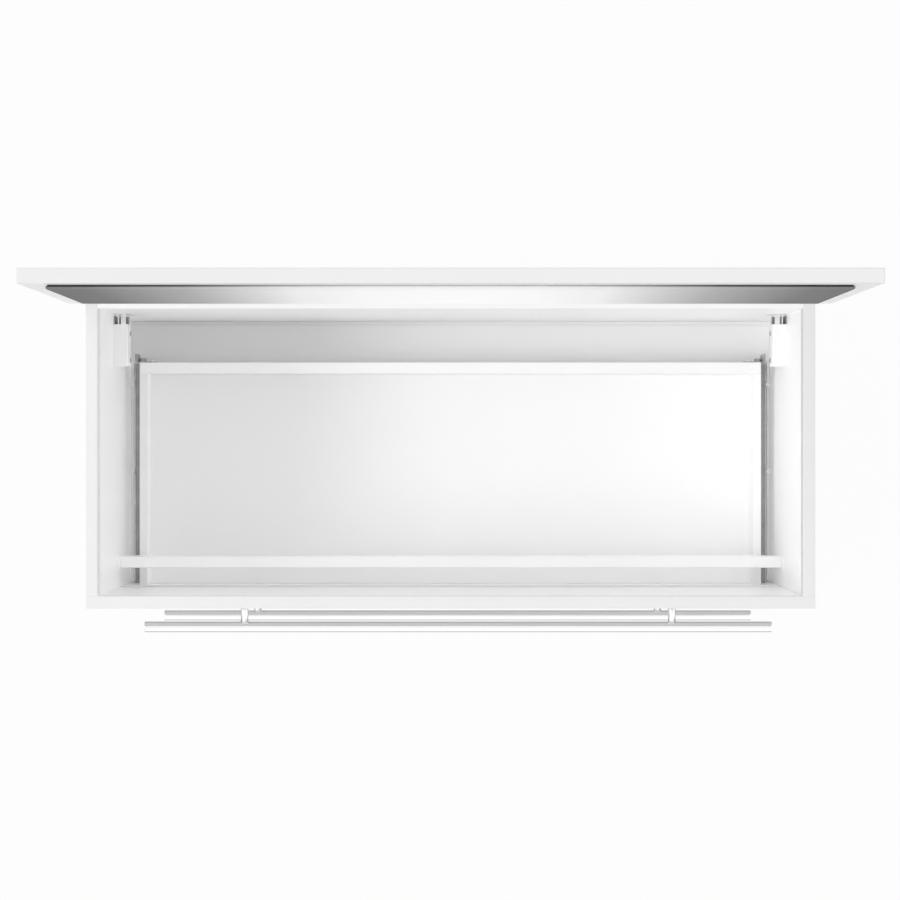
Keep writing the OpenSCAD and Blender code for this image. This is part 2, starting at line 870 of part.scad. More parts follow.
// Steel channel screwed to the side panel, which guides the hook
module suspension_carrier(s) {
    color(dark_zinc) on_side(s) difference() {
        union() {
            block([half_in - carrier_t, carrier_y0, carrier_z0], [half_in, carrier_y1, carrier_z1]);
            block([carrier_in, carrier_y0, carrier_z0], [half_in, carrier_y1, carrier_z0 + carrier_t]);
            block([carrier_in, carrier_y0, carrier_z0],
                [carrier_in + carrier_t, carrier_y1, carrier_z0 + carrier_lip_h]);
            block([carrier_in, carrier_y0, carrier_z0], [half_in, carrier_y0 + carrier_t, carrier_z1]);
        }
        for (y = carrier_screw_ys()) rod_x([half_in - carrier_t - over, y, carrier_screw_z()],
            wood_screw_d + 2 * fit, carrier_t + 2 * over);
        for (y = rivet_ys())
            rod_x([carrier_in - over, y, rivet_z], rivet_d + 2 * fit, carrier_t + 2 * over);
        rod_y([screw_x, carrier_y0 - over, screw_z], depth_screw_d + 2 * fit, carrier_t + 2 * over);
    }
}

module suspension_rivets() {
    color(dark_zinc) on_both_sides() for (y = rivet_ys()) {
        rod_x([cover_in - rivet_head_h, y, rivet_z], rivet_head_d, rivet_head_h);
        rod_x([cover_in - over, y, rivet_z], rivet_d, carrier_in + carrier_t - cover_in + over);
    }
}

module carrier_screws() {
    color(zinc) on_both_sides() for (y = carrier_screw_ys())
        translate([half_in - carrier_t, y, carrier_screw_z()]) rotate([0, 90, 0])
            cross_screw(wood_screw_d, carrier_t + wood_screw_l, wood_head_d, wood_head_h);
}

// Hook that slides towards the wall: a nut plate, two arms and a nose that hooks over a wall rail
module hook(s) {
    arm_z = hook_z0 + nose_step;
    arm_y = carrier_y1 - hook_travel - hook_arm_end;
    color(zinc) on_side(s) difference() {
        union() {
            block([hook_in, nut_y, hook_z0], [hook_plate_out, nut_y + nut_t, hook_z1]);
            block([hook_plate_out - hook_plate_t, nut_y, hook_z0], [hook_plate_out, arm_y, hook_z1]);
            block([hook_plate_out - hook_plate_t, nut_y, arm_z], [hook_plate_out, nose_y, hook_z1]);
            block([hook_in, nut_y, hook_z1 - hook_arm_h], [hook_in + hook_wide, nose_y, hook_z1]);
            block([hook_in, nose_y - nose_t, hook_z0 - nose_drop], [hook_plate_out, nose_y, hook_z1]);
        }
        rod_y([screw_x, nut_y - over, screw_z], depth_screw_d + 2 * fit, nut_t + 2 * over);
    }
}

// Captive screw that moves the hook
module depth_screw(s) {
    head_y = carrier_y0 - screw_gap - depth_head_h;
    color(zinc) on_side(s) difference() {
        union() {
            rod_y([screw_x, head_y, screw_z], depth_head_d, depth_head_h);
            rod_y([screw_x, head_y, screw_z], depth_screw_d, depth_head_h + depth_screw_l);
            rod_y([screw_x, carrier_y0 + carrier_t + screw_gap, screw_z], depth_collar_d, depth_collar_h);
        }
        translate([screw_x, head_y, screw_z]) for (a = [0, 90])
            rotate([0, a, 0]) cube([depth_recess_w, 2 * depth_recess_t, depth_recess_t], center = true);
    }
}

module suspension_cover_left() {
    suspension_cover(-1);
}

module suspension_cover_right() {
    suspension_cover(1);
}

module suspension_carrier_left() {
    suspension_carrier(-1);
}

module suspension_carrier_right() {
    suspension_carrier(1);
}

module hook_left() {
    hook(-1);
}

module hook_right() {
    hook(1);
}

module depth_screw_left() {
    depth_screw(-1);
}

module depth_screw_right() {
    depth_screw(1);
}

// Mirror

// Outline of a hanger's keyhole: a round entry with a narrower slot above it
module keyhole(grow) {
    rod_y([0, 0, -keyhole_drop], keyhole_d + grow, keyhole_depth);
    block([-(keyhole_slot_w + grow) / 2, 0, -keyhole_drop],
          [(keyhole_slot_w + grow) / 2, keyhole_depth, 0]);
    rod_y([0, 0, 0], keyhole_slot_w + grow, keyhole_depth);
}

module mirror_board() {
    color(lacquer) difference() {
        block([-mirror_board_w / 2, mirror_y, cabinet_h], [mirror_board_w / 2, y_wall, mirror_top]);
        joint_bores();
        on_both_sides() translate([hanger_x, 0, hanger_z]) {
            block([-hanger_w / 2 - fit, y_wall - hanger_t, -hanger_h / 2 - fit],
                [hanger_w / 2 + fit, y_wall + over, hanger_h / 2 + fit]);
            translate([0, y_wall - keyhole_depth, keyhole_rise]) keyhole(keyhole_room);
            for (x = [-1, 1]) rod_y([x * hanger_hole_pitch / 2, y_wall - pilot_l, 0],
                wood_screw_d + 2 * fit, pilot_l);
        }
    }
}

// Glass with a ground edge all round
module mirror_glass() {
    w = glass_w / 2;
    color(silvered) difference() {
        block([-w, glass_y, glass_z], [w, glass_y + glass_t, glass_z + glass_h]);
        for (x = [-w, w]) translate([x, glass_y, glass_z + glass_h / 2]) rotate([0, 0, 45])
            cube([glass_edge * sqrt(2), glass_edge * sqrt(2), glass_h + 2 * over], center = true);
        for (z = [glass_z, glass_z + glass_h]) translate([0, glass_y, z]) rotate([45, 0, 0])
            cube([glass_w + 2 * over, glass_edge * sqrt(2), glass_edge * sqrt(2)], center = true);
    }
}

module mirror_pads() {
    reach = glass_w / 2 - pad_inset - pad_w / 2;
    color(foam) for (x = [-reach, 0, reach]) for (z = [glass_z + pad_inset, glass_z + glass_h - pad_inset])
        translate([x - pad_w / 2, mirror_y - pad_t, z - pad_h / 2]) cube([pad_w, pad_t, pad_h]);
}

module hanger_plates() {
    color(zinc) on_both_sides() translate([hanger_x, 0, hanger_z]) difference() {
        block([-hanger_w / 2, y_wall - hanger_t, -hanger_h / 2], [hanger_w / 2, y_wall, hanger_h / 2]);
        translate([0, y_wall - hanger_t - over, keyhole_rise]) keyhole(0);
        for (x = [-1, 1]) translate([x * hanger_hole_pitch / 2, y_wall, 0]) rotate([90, 0, 0]) {
            translate([0, 0, -over]) cylinder(h = hanger_t + 2 * over, d = wood_screw_d + 2 * fit);
            translate([0, 0, -over]) cylinder(h = hanger_t / 2 + over, d = wood_head_d + 2 * fit);
        }
    }
}

module hanger_screws() {
    color(zinc) on_both_sides() for (x = [-1, 1])
        translate([hanger_x + x * hanger_hole_pitch / 2, y_wall - hanger_t / 2, hanger_z])
            rotate([90, 0, 0])
            cross_screw(wood_screw_d, wood_screw_l, wood_head_d, hanger_t / 2);
}

side_panel_left();
side_panel_right();
bottom_panel();
back_rail();
back_panel();
front_stretcher();
upper_front();
cam_discs();
cam_bolts();
dowels();
drawer_dampers();
upper_bar();
upper_posts();
upper_handle_screws();
lower_front();
lower_bar();
lower_posts();
lower_handle_screws();
drawer_side_left();
drawer_side_right();
drawer_floor();
drawer_back();
drawer_clips();
clip_screws();
front_brackets();
front_bracket_screws();
floor_screws();
runner_rail_left();
runner_rail_right();
runner_middle_left();
runner_middle_right();
runner_drawer_left();
runner_drawer_right();
rail_screws();
suspension_cover_left();
suspension_cover_right();
suspension_carrier_left();
suspension_carrier_right();
suspension_rivets();
carrier_screws();
hook_left();
hook_right();
depth_screw_left();
depth_screw_right();
mirror_board();
mirror_glass();
mirror_pads();
hanger_plates();
hanger_screws();
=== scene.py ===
# Looks of a white wall-hung vanity cabinet with a mirror board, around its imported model.
# Metres. X runs to the right, Y from the fronts to the wall, Z up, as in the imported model.
import json
import math

import bmesh
import bpy
from mathutils import Matrix, Vector

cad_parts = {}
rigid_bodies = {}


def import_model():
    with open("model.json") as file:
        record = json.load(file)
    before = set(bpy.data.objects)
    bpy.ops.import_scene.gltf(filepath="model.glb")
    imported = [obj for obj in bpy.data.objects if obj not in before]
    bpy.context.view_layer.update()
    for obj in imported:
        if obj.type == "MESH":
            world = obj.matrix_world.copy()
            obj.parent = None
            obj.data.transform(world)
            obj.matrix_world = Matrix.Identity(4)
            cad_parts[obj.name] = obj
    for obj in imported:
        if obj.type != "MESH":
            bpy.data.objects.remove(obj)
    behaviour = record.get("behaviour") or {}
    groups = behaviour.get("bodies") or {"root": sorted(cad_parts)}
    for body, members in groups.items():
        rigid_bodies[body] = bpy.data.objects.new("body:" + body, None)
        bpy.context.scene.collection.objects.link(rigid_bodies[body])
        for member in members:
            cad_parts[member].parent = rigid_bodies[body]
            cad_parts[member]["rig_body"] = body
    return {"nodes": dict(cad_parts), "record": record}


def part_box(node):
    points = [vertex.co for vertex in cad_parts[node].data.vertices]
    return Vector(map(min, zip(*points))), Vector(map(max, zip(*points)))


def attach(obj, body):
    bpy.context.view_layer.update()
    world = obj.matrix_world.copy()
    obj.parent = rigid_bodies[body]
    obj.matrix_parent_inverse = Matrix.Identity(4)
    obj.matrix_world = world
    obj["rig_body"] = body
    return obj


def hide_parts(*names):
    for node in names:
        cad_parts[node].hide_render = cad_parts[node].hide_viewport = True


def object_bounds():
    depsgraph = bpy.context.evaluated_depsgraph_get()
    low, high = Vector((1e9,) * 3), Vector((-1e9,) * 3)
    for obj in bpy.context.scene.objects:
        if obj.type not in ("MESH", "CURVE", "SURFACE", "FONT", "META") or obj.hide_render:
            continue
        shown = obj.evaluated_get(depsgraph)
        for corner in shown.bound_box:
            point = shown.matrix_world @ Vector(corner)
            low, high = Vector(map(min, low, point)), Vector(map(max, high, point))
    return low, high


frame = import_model()
cad_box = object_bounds()
nodes = frame["nodes"]
slots = {part["node"]: part["material_slot"] for part in frame["record"]["subparts"]}

MM = 0.001
SIDES = ("left", "right")
WELD = 0.002 * MM

# Camera straight above the cabinet
CAMERA_PLACE = (-0.0005, -0.001, 4.436)
CAMERA_LENS = 121.64
CAMERA_REACH = 40.0

# Roundings of the edges
BOARD_ROUND = 0.9 * MM
FRONT_ROUND = 1.2 * MM
FOLD_ROUND = 1.3 * MM
MOULDED_ROUND = 1.3 * MM
PRESSED_ROUND = 0.4 * MM
ROUND_STEPS = 3

# Length of the shortest edge that is rounded
LONG_EDGE = 9 * MM
HOOK_EDGE = 3 * MM
CLIP_EDGE = 4 * MM

# Area above which a plane face is shaded flat
FLAT_FACE = 30 * MM * MM

# Angles in radians within which faces count as one plane, or as square to each other
SAME_PLANE = math.radians(0.3)
RIGHT_ANGLE_PLAY = 0.03

# How much of a face's normal points along an axis, or inwards
ON_AXIS = 0.9999
INNER_TURN = 0.8


def grey(level):
    return (level, level, level, 1)


# Finish colours, and the share of light that the glossy lacquer mirrors
BOARD_GLOSS = 0.5
LACQUER = grey(0.968)
LACQUER_DEEP = grey(0.96)
# Darker copy of the white lacquer for the boards' outer faces: a painted shade where more light
# falls outside
OUTER_SHADED = grey(0.83)
OUTER_SHADED_DEEP = grey(0.82)
BASE_WHITE = grey(0.90)
BASE_DEEP = grey(0.885)
POWDER = grey(0.955)
POWDER_DEEP = grey(0.94)
MOULDED = grey(0.965)
MOULDED_DEEP = grey(0.95)
# Grey of the strip along the cabinet's inner rim: a painted shade line along the inner top edges
RIM_SHADE_GREY = grey(0.66)
RIM_SHADE_GREY_DEEP = grey(0.62)
STEEL = grey(0.985)
STEEL_LINE = grey(0.92)
# Near-black tint of the steel's reflection where it is seen along its face: a painted dark
# reflection along the sides of the bars and posts
STEEL_EDGE_SHADE = grey(0.01)
ZINC_LIGHT = grey(0.93)
ZINC_DEEP = grey(0.76)
DARK_LIGHT = grey(0.40)
DARK_DEEP = grey(0.30)
BEECH_LIGHT = (0.72, 0.53, 0.33, 1)
BEECH_DEEP = (0.55, 0.37, 0.21, 1)
RUBBER_LIGHT = (0.72, 0.75, 0.77, 1)
RUBBER_DEEP = (0.60, 0.64, 0.67, 1)
FOAM_LIGHT = (0.80, 0.80, 0.78, 1)
FOAM_DEEP = (0.66, 0.66, 0.64, 1)
NYLON_LIGHT = (0.78, 0.77, 0.72, 1)
NYLON_DEEP = (0.68, 0.67, 0.62, 1)


# Node groups that several finishes share

def shader_group(name, inputs, outputs):
    group = bpy.data.node_groups.new(name, "ShaderNodeTree")
    for label, kind, value in inputs:
        socket = group.interface.new_socket(label, in_out="INPUT", socket_type=kind)
        socket.default_value = value
    for label in outputs:
        group.interface.new_socket(label, in_out="OUTPUT", socket_type="NodeSocketFloat")
    return group, group.nodes.new("NodeGroupInput"), group.nodes.new("NodeGroupOutput")


def noise(tree, place, scale, detail, roughness):
    node = tree.nodes.new("ShaderNodeTexNoise")
    node.inputs["Scale"].default_value = scale
    node.inputs["Detail"].default_value = detail
    node.inputs["Roughness"].default_value = roughness
    tree.links.new(place, node.inputs["Vector"])
    return node.outputs["Fac"]


def object_place(tree):
    return tree.nodes.new("ShaderNodeTexCoord").outputs["Object"]


def spread(tree, value, low, high, new_low=0.0, new_high=1.0):
    """Lays a value's range from low to high on a new range, and clamps it."""
    node = tree.nodes.new("ShaderNodeMapRange")
    node.inputs["From Min"].default_value = low
    node.inputs["From Max"].default_value = high
    node.inputs["To Min"].default_value = new_low
    node.inputs["To Max"].default_value = new_high
    tree.links.new(value, node.inputs["Value"])
    return node.outputs["Result"]


def make_ripple():
    """The fine waviness of a sprayed or moulded skin."""
    group, start, end = shader_group(
        "Skin ripple", [("Waves per metre", "NodeSocketFloat", 400.0)], ["Height"])
    wave = group.nodes.new("ShaderNodeTexNoise")
    wave.inputs["Detail"].default_value = 1.0
    group.links.new(object_place(group), wave.inputs["Vector"])
    group.links.new(start.outputs["Waves per metre"], wave.inputs["Scale"])
    group.links.new(wave.outputs["Fac"], end.inputs["Height"])
    return group


def make_smudge():
    """Broad soft patches where a surface has been wiped and handled."""
    group, start, end = shader_group(
        "Handling marks", [("Patches per metre", "NodeSocketFloat", 9.0)], ["Mask"])
    patch = group.nodes.new("ShaderNodeTexNoise")
    patch.inputs["Detail"].default_value = 4.0
    patch.inputs["Distortion"].default_value = 0.6
    group.links.new(object_place(group), patch.inputs["Vector"])
    group.links.new(start.outputs["Patches per metre"], patch.inputs["Scale"])
    group.links.new(spread(group, patch.outputs["Fac"], low=0.35, high=0.68), end.inputs["Mask"])
    return group


def make_hairline():
    """Brushing lines, drawn out along the axis that has the small stretch."""
    group, start, end = shader_group(
        "Hairlines", [("Stretch", "NodeSocketVector", (1.0, 1.0, 1.0))], ["Mask", "Height"])
    mapping = group.nodes.new("ShaderNodeMapping")
    group.links.new(object_place(group), mapping.inputs["Vector"])
    group.links.new(start.outputs["Stretch"], mapping.inputs["Scale"])
    coarse = noise(group, mapping.outputs["Vector"], scale=1.0, detail=3.0, roughness=0.6)
    fine = noise(group, mapping.outputs["Vector"], scale=3.7, detail=4.0, roughness=0.7)
    group.links.new(spread(group, coarse, low=0.38, high=0.66), end.inputs["Mask"])
    group.links.new(fine, end.inputs["Height"])
    return group


CELL_SHARE = 0.45


def make_bloom():
    """The cloudy crystal pattern of a plated surface."""
    group, start, end = shader_group(
        "Plating bloom", [("Crystals per metre", "NodeSocketFloat", 260.0)], ["Mask"])
    cells = group.nodes.new("ShaderNodeTexVoronoi")
    cloud = group.nodes.new("ShaderNodeTexNoise")
    cloud.inputs["Scale"].default_value = 60.0
    cloud.inputs["Detail"].default_value = 3.0
    mix = group.nodes.new("ShaderNodeMath")
    mix.operation = "MULTIPLY_ADD"
    mix.inputs[1].default_value = CELL_SHARE
    place = object_place(group)
    group.links.new(place, cells.inputs["Vector"])
    group.links.new(place, cloud.inputs["Vector"])
    group.links.new(start.outputs["Crystals per metre"], cells.inputs["Scale"])
    group.links.new(cells.outputs["Distance"], mix.inputs[0])
    group.links.new(cloud.outputs["Fac"], mix.inputs[2])
    group.links.new(spread(group, mix.outputs["Value"], low=0.35, high=0.95), end.inputs["Mask"])
    return group


RIPPLE = make_ripple()
SMUDGE = make_smudge()
HAIRLINE = make_hairline()
BLOOM = make_bloom()


# Finishes

class Finish:
    """A material with its own Principled shader, and short ways to feed it."""

    def __init__(self, name, metallic=0.0, **settings):
        self.material = bpy.data.materials.new(name)
        self.material.use_nodes = True
        self.tree = self.material.node_tree
        self.shader = self.tree.nodes["Principled BSDF"]
        self.shader.inputs["Metallic"].default_value = metallic
        for label, value in settings.items():
            self.shader.inputs[label.replace("_", " ")].default_value = value

    def use(self, group, **settings):
        node = self.tree.nodes.new("ShaderNodeGroup")
        node.node_tree = group
        for label, value in settings.items():
            node.inputs[label.replace("_", " ")].default_value = value
        return node.outputs

    def colour(self, mask, low, high):
        mix = self.tree.nodes.new("ShaderNodeMix")
        mix.data_type = "RGBA"
        self.tree.links.new(mask, mix.inputs["Factor"])
        mix.inputs["A"].default_value = low
        mix.inputs["B"].default_value = high
        self.tree.links.new(mix.outputs["Result"], self.shader.inputs["Base Color"])
        return mix

    def roughness(self, mask, low, high):
        share = spread(self.tree, mask, 0.0, 1.0, new_low=low, new_high=high)
        self.tree.links.new(share, self.shader.inputs["Roughness"])

    def bump(self, height, depth):
        node = self.tree.nodes.new("ShaderNodeBump")
        node.inputs["Strength"].default_value = 1.0
        node.inputs["Distance"].default_value = depth
        self.tree.links.new(height, node.inputs["Height"])
        self.tree.links.new(node.outputs["Normal"], self.shader.inputs["Normal"])


# How much rougher a surface is where it is handled, or where it ripples
HANDLED_ROUGHNESS = 0.08
RIPPLE_ROUGHNESS = 0.1


def white_lacquer(name, white, deep, gloss=0.0, roughness=0.30):
    """Lacquered board. Its gloss is the share of light that it mirrors."""
    finish = Finish(name, metallic=gloss)
    smudge = finish.use(SMUDGE, Patches_per_metre=7.0)["Mask"]
    finish.colour(smudge, white, deep)
    finish.roughness(smudge, low=roughness, high=roughness + HANDLED_ROUGHNESS)
    finish.bump(finish.use(RIPPLE, Waves_per_metre=420.0)["Height"], depth=0.004 * MM)
    return finish.material


def powder_coat():
    finish = Finish("powder_coat")
    ripple = finish.use(RIPPLE, Waves_per_metre=1100.0)["Height"]
    finish.colour(ripple, POWDER_DEEP, POWDER)
    finish.roughness(finish.use(SMUDGE, Patches_per_metre=11.0)["Mask"], low=0.42, high=0.50)
    finish.bump(ripple, depth=0.02 * MM)
    return finish.material


def moulded_plastic(name, light, deep):
    finish = Finish(name)
    smudge = finish.use(SMUDGE, Patches_per_metre=30.0)["Mask"]
    finish.colour(smudge, light, deep)
    finish.roughness(smudge, low=0.30, high=0.40)
    finish.bump(finish.use(RIPPLE, Waves_per_metre=1800.0)["Height"], depth=0.006 * MM)
    return finish.material


# Pattern scale along the lines of brushed steel, and across them
BRUSH_ALONG = 14.0
BRUSH_ACROSS = 1500.0


def brushed_steel(name, stretch, lined, smooth):
    """Steel brushed along one axis, with the roughness of its lines and between them."""
    finish = Finish(name, metallic=1.0, Anisotropic=0.4, Specular_Tint=STEEL_EDGE_SHADE)
    lines = finish.use(HAIRLINE, Stretch=stretch)
    finish.colour(lines["Mask"], STEEL_LINE, STEEL)
    finish.roughness(lines["Mask"], low=lined, high=smooth)
    finish.bump(lines["Height"], depth=0.006 * MM)
    return finish.material


def bright_zinc():
    finish = Finish("bright_zinc", metallic=1.0)
    bloom = finish.use(BLOOM, Crystals_per_metre=300.0)["Mask"]
    finish.colour(bloom, ZINC_DEEP, ZINC_LIGHT)
    finish.roughness(finish.use(SMUDGE, Patches_per_metre=40.0)["Mask"], low=0.24, high=0.38)
    finish.bump(bloom, depth=0.004 * MM)
    return finish.material


def dark_zinc():
    finish = Finish("dark_zinc", metallic=0.6)
    finish.colour(finish.use(BLOOM, Crystals_per_metre=420.0)["Mask"], DARK_DEEP, DARK_LIGHT)
    lines = finish.use(HAIRLINE, Stretch=(900.0, 12.0, 900.0))
    finish.roughness(lines["Mask"], low=0.34, high=0.48)
    finish.bump(lines["Height"], depth=0.01 * MM)
    return finish.material


def turned_beech():
    finish = Finish("turned_beech")
    mapping = finish.tree.nodes.new("ShaderNodeMapping")
    mapping.inputs["Scale"].default_value = (60.0, 600.0, 600.0)
    finish.tree.links.new(object_place(finish.tree), mapping.inputs["Vector"])
    flecks = noise(finish.tree, mapping.outputs["Vector"], scale=1.0, detail=4.0, roughness=0.6)
    finish.colour(spread(finish.tree, flecks, low=0.35, high=0.65), BEECH_LIGHT, BEECH_DEEP)
    finish.roughness(flecks, low=0.55, high=0.75)
    finish.bump(flecks, depth=0.05 * MM)
    return finish.material


def soft_rubber():
    finish = Finish("soft_rubber")
    smudge = finish.use(SMUDGE, Patches_per_metre=120.0)["Mask"]
    finish.colour(smudge, RUBBER_LIGHT, RUBBER_DEEP)
    finish.roughness(smudge, low=0.35, high=0.5)
    return finish.material


def foam_tape():
    finish = Finish("foam_tape")
    cells = finish.use(BLOOM, Crystals_per_metre=1500.0)["Mask"]
    finish.colour(cells, FOAM_DEEP, FOAM_LIGHT)
    finish.roughness(cells, low=0.85, high=0.95)
    finish.bump(cells, depth=0.1 * MM)
    return finish.material


def roller_nylon():
    finish = Finish("roller_nylon")
    smudge = finish.use(SMUDGE, Patches_per_metre=90.0)["Mask"]
    finish.colour(smudge, NYLON_LIGHT, NYLON_DEEP)
    finish.roughness(smudge, low=0.38, high=0.5)
    return finish.material


# Painted reflection on the mirror, light in its middle and darker to its ends: share of its half
# width, and brightness
PAINTED_REFLECTION_TONES = ((0.0, 0.935), (0.22, 0.92), (0.39, 0.845),
                (0.66, 0.445), (0.90, 0.213), (1.0, 0.185))

# Share of that tone, and the power it is raised to, on the painted back and on the tape. This makes
# them darker than the glass, a painted shadow of the gap behind it.
BACKING_SHADOW_SHARE = 0.95
BACKING_SHADOW_POWER = 2
TAPE_SHADOW_SHARE = 0.65
TAPE_SHADOW_POWER = 3

MIRROR_PLAIN = (0.93, 0.94, 0.94, 1)
GRAZING_ROUGHNESS = 0.9


def painted_reflection_tone(tree, share_of_tone=1.0, power=1):
    """A painted reflection: a grey that is light at the mirror's middle and darker to both ends."""
    low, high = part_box("mirror_glass")
    parts = tree.nodes.new("ShaderNodeSeparateXYZ")
    tree.links.new(object_place(tree), parts.inputs["Vector"])
    share = tree.nodes.new("ShaderNodeMath")
    share.operation = "ABSOLUTE"
    across = spread(tree, parts.outputs["X"], low.x, high.x, new_low=-1.0, new_high=1.0)
    tree.links.new(across, share.inputs[0])
    ramp = tree.nodes.new("ShaderNodeValToRGB")
    stops = ramp.color_ramp.elements
    stops.remove(stops[1])
    for i, (place, tone) in enumerate(PAINTED_REFLECTION_TONES):
        stop = stops.new(place) if i else stops[0]
        stop.position = place
        stop.color = grey(share_of_tone * tone ** power)
    tree.links.new(share.outputs["Value"], ramp.inputs["Fac"])
    return ramp.outputs["Color"]


def mirror_silver():
    """Silvered glass: clear from the front, and coloured with a painted reflection where it is seen
    along its face.
    """
    finish = Finish("mirror_silver", metallic=1.0)
    tree = finish.tree
    facing = tree.nodes.new("ShaderNodeLayerWeight")
    facing.inputs["Blend"].default_value = 0.5
    along = spread(tree, facing.outputs["Facing"], low=0.70, high=0.92)
    # Seen along its face, the glass takes the painted reflection as its colour
    mix = finish.colour(along, MIRROR_PLAIN, MIRROR_PLAIN)
    tree.links.new(painted_reflection_tone(tree), mix.inputs["B"])
    smudge = finish.use(SMUDGE, Patches_per_metre=5.0)["Mask"]
    clear = spread(tree, smudge, low=0.0, high=1.0, new_low=0.03, new_high=0.05)
    rough = tree.nodes.new("ShaderNodeMix")
    tree.links.new(along, rough.inputs["Factor"])
    tree.links.new(clear, rough.inputs["A"])
    rough.inputs["B"].default_value = GRAZING_ROUGHNESS
    tree.links.new(rough.outputs["Result"], finish.shader.inputs["Roughness"])
    return finish.material


def mirror_edge(name, roughness, share_of_tone=1.0, power=1):
    """The mirror's ground rim, the paint on its back, or the tape behind it, all coloured with the
    painted reflection.
    """
    finish = Finish(name)
    tree = finish.tree
    tree.links.new(painted_reflection_tone(tree, share_of_tone, power), finish.shader.inputs["Base Color"])
    ripple = finish.use(RIPPLE, Waves_per_metre=2400.0)["Height"]
    finish.roughness(ripple, low=roughness, high=roughness + RIPPLE_ROUGHNESS)
    finish.bump(ripple, depth=0.004 * MM)
    return finish.material


FINISHES = {
    "white_lacquer": white_lacquer("white_lacquer", LACQUER, LACQUER_DEEP),
    # Outer faces of the boards: the same lacquer darker, as painted shade
    "shaded_outer_lacquer": white_lacquer("shaded_outer_lacquer", OUTER_SHADED, OUTER_SHADED_DEEP, roughness=0.55),
    "base_lacquer": white_lacquer("base_lacquer", BASE_WHITE, BASE_DEEP),
    "gloss_lacquer": white_lacquer("gloss_lacquer", LACQUER, LACQUER_DEEP, gloss=BOARD_GLOSS),
    "white_steel": powder_coat(),
    "white_plastic": moulded_plastic("moulded_plastic", MOULDED, MOULDED_DEEP),
    "rim_shade_line": moulded_plastic("rim_shade_strip", RIM_SHADE_GREY, RIM_SHADE_GREY_DEEP),
    "brushed_bar": brushed_steel(
        "brushed_along_x", (BRUSH_ALONG, BRUSH_ACROSS, BRUSH_ACROSS), lined=0.16, smooth=0.08),
    "brushed_post": brushed_steel(
        "brushed_along_y", (BRUSH_ACROSS, BRUSH_ALONG, BRUSH_ACROSS), lined=0.40, smooth=0.30),
    "zinc": bright_zinc(),
    "dark_zinc": dark_zinc(),
    "beech": turned_beech(),
    "damper": soft_rubber(),
    "pad": foam_tape(),
    "nylon": roller_nylon(),
    "mirror": mirror_silver(),
    # The rim carries the painted reflection, and the back and the tape a darker painted shadow of
    # the gap behind the glass
    "mirror_rim": mirror_edge("mirror_rim", roughness=0.25),
    "mirror_backing": mirror_edge("mirror_backing", 0.5, BACKING_SHADOW_SHARE, BACKING_SHADOW_POWER),
    "mirror_tape": mirror_edge("mirror_tape", 0.7, TAPE_SHADOW_SHARE, TAPE_SHADOW_POWER),
}


def dress_nodes():
    """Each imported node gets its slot's finish, and the rails on the side panels a white one."""
    for node, slot in slots.items():
        finish = "white_steel" if node.startswith("runner_rail") else slot
        mesh = nodes[node].data
        for i in range(len(mesh.materials)):
            mesh.materials[i] = FINISHES[finish]


# Making pieces

def finish_piece(name, shape, finish, body, replaced=(), more_finishes=()):
    """Turns a shape into a piece of the object that rides on a body."""
    bmesh.ops.recalc_face_normals(shape, faces=shape.faces)
    mesh = bpy.data.meshes.new(name)
    shape.to_mesh(mesh)
    shape.free()
    for each in (finish, *more_finishes):
        mesh.materials.append(FINISHES[each])
    piece = bpy.data.objects.new(name, mesh)
    bpy.context.scene.collection.objects.link(piece)
    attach(piece, body)
    if replaced:
        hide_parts(*replaced)


def body_of_node(node):
    return nodes[node]["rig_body"]


def on_axis(normal):
    return max(abs(normal.x), abs(normal.y), abs(normal.z)) > ON_AXIS


def shade(shape):
    """Large plane faces stay flat, and everything else is smooth."""
    for face in shape.faces:
        face.smooth = not (on_axis(face.normal) and face.calc_area() > FLAT_FACE)


def welded(node):
    """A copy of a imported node's mesh with its loose triangles joined into plane faces."""
    shape = bmesh.new()
    shape.from_mesh(nodes[node].data)
    bmesh.ops.remove_doubles(shape, verts=shape.verts, dist=WELD)
    bmesh.ops.dissolve_limit(shape, angle_limit=SAME_PLANE, verts=shape.verts, edges=shape.edges)
    return shape


def square_edges(shape, shortest):
    """Long straight edges where two plane faces meet outwards at a right angle."""
    found = []
    for edge in shape.edges:
        if len(edge.link_faces) != 2 or edge.calc_length() < shortest or not edge.is_convex:
            continue
        if abs(edge.calc_face_angle() - math.pi / 2) < RIGHT_ANGLE_PLAY:
            found.append(edge)
    return found


# Place of the darker outer copy of the lacquer, a painted shade, among the finishes of a board
SHADED_OUTER_PLACE = 1


def soften(node, radius, finish=None, shortest=LONG_EDGE, inwards=None):
    """Replaces a node by a copy whose long square edges are rounded.

    Where inwards is given, only the face that looks that way keeps the finish.
    The rest of the board gets a darker copy of the lacquer, a painted shade.
    """
    shape = welded(node)
    bmesh.ops.bevel(shape, geom=square_edges(shape, shortest), offset=radius, offset_type="OFFSET",
                    segments=ROUND_STEPS, profile=0.5, affect="EDGES", clamp_overlap=True)
    shade(shape)
    more = ()
    if inwards:
        for face in shape.faces:
            if face.normal.dot(Vector(inwards)) < INNER_TURN:
                face.material_index = SHADED_OUTER_PLACE
        more = ("shaded_outer_lacquer",)
    slot = slots[node]
    finish_piece(node + "_finished", shape, finish or slot, body_of_node(node), (node,), more)


